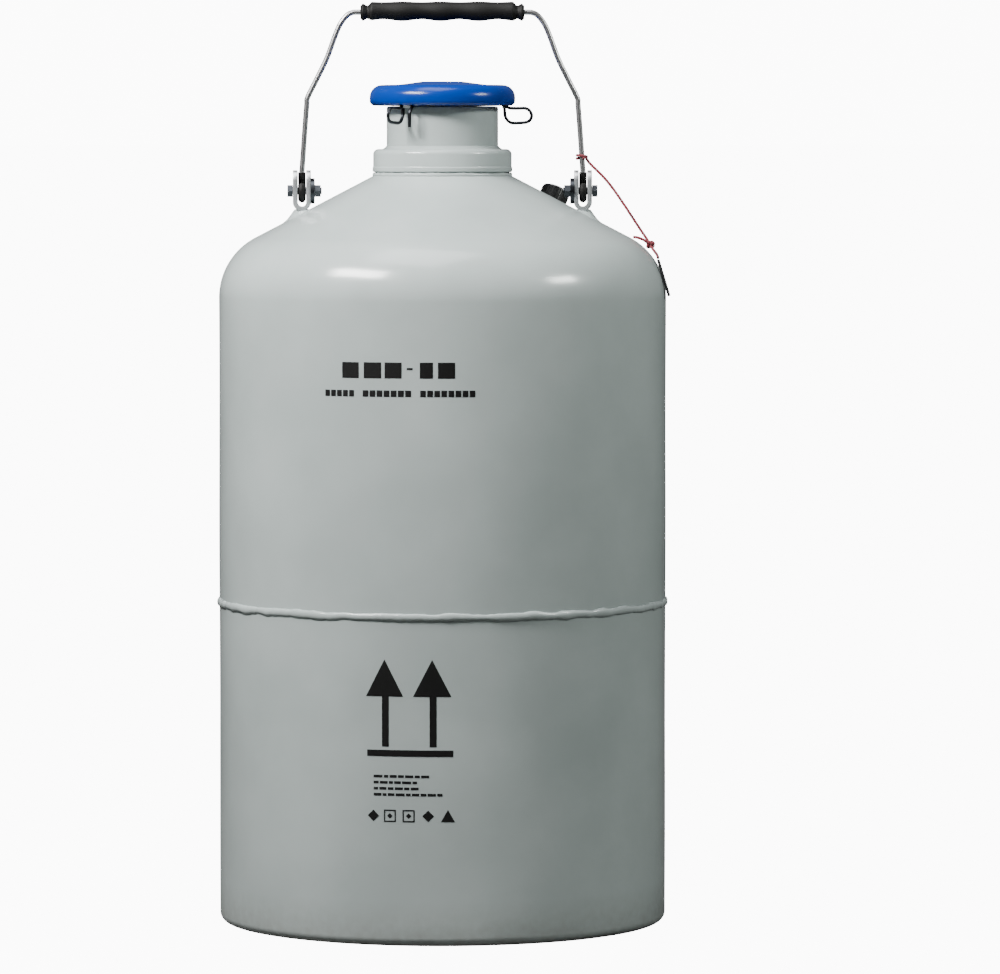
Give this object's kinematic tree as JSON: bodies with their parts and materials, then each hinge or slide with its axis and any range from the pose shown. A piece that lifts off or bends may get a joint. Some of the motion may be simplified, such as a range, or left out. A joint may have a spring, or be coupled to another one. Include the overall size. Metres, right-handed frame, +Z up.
{
  "type": "liquid nitrogen dewar",
  "caption": "Portable aluminium liquid nitrogen dewar with a domed shoulder, plugged neck, blue lid, folding bail handle, inner vessel and hanging sample canisters.",
  "frame": {"origin": "centre of the base, on the ground that the foot ring stands on", "axes": "+Z up along the vessel's axis; X along the handle's pivot line, +X to the side of the red cord; -Y is the printed front"},
  "size_m": [0.3069, 0.3062, 0.6216],
  "materials": {
    "body_paint": "light grey semi-gloss enamel on aluminium",
    "glass_fibre": "glass fibre and resin tube",
    "bare_aluminium": "spun, bare",
    "insulation": "many layers of foil and glass paper",
    "adsorbent": "granules in a cloth bag",
    "plated_steel": "bright zinc plated",
    "dark_steel": "blackened",
    "stainless_wire": "drawn and polished",
    "stainless_sheet": "drawn sheet",
    "black_plastic": "moulded",
    "white_plastic": "moulded",
    "blue_plastic": "glossy moulded",
    "plug_foam": "rigid closed-cell foam",
    "grip_rubber": "moulded finger bumps",
    "red_cord": "braided cord"
  },
  "bodies": {
    "root": {"outer_shell_upper": "body_paint", "outer_shell_lower": "body_paint", "girth_weld_bead": "body_paint", "neck_collar": "body_paint", "neck_sleeve": "body_paint", "handle_pad_left": "body_paint", "handle_pad_right": "body_paint", "neck_tube": "glass_fibre", "inner_vessel_top": "bare_aluminium", "inner_vessel_bottom": "bare_aluminium", "insulation_blanket": "insulation", "adsorbent_pack": "adsorbent", "vacuum_port_seat": "bare_aluminium", "vacuum_port_plug": "plated_steel", "vacuum_port_cap": "black_plastic", "handle_bracket_left": "plated_steel", "handle_bracket_right": "plated_steel", "pivot_bolt_left": "dark_steel", "pivot_bolt_right": "dark_steel", "pivot_nut_left": "dark_steel", "pivot_nut_right": "dark_steel", "canister_rack": "bare_aluminium", "canister_index_ring": "white_plastic", "tie_cord": "red_cord", "tag_cord": "red_cord", "cord_knot": "red_cord", "cord_tag": "black_plastic", "canister_1": "stainless_sheet", "canister_hanger_1": "stainless_wire", "canister_2": "stainless_sheet", "canister_hanger_2": "stainless_wire", "canister_3": "stainless_sheet", "canister_hanger_3": "stainless_wire", "canister_4": "stainless_sheet", "canister_hanger_4": "stainless_wire", "canister_5": "stainless_sheet", "canister_hanger_5": "stainless_wire", "canister_6": "stainless_sheet", "canister_hanger_6": "stainless_wire"},
    "bail": {"bail_wire": "stainless_wire", "bail_grip": "grip_rubber", "cord_loop": "red_cord"},
    "lid": {"lid_cap": "blue_plastic", "plug_disc": "white_plastic", "neck_plug": "plug_foam", "clip_lug_left": "plated_steel", "clip_lug_right": "plated_steel"},
    "clip_left": {"clip_left": "dark_steel"},
    "clip_right": {"clip_right": "dark_steel"}
  },
  "joints": [
    {"name": "handle_swing", "type": "hinge", "parent": "root", "child": "bail", "pos_m": [0, 0, 0.4945], "axis": [1, 0, 0], "range_deg": [-98, 98]},
    {"name": "lid_lift", "type": "slide", "parent": "root", "child": "lid", "axis": [0, 0, 1], "range_m": [0, 0.03]},
    {"name": "clip_left_swing", "type": "hinge", "parent": "lid", "child": "clip_left", "pos_m": [-0.02298, -0.03539, 0.5524], "axis": [0.8387, -0.5446, 0], "range_deg": [0, 20]},
    {"name": "clip_right_swing", "type": "hinge", "parent": "lid", "child": "clip_right", "pos_m": [0.0422, 0, 0.5524], "axis": [0, 1, 0], "range_deg": [0, 20]}
  ]
}
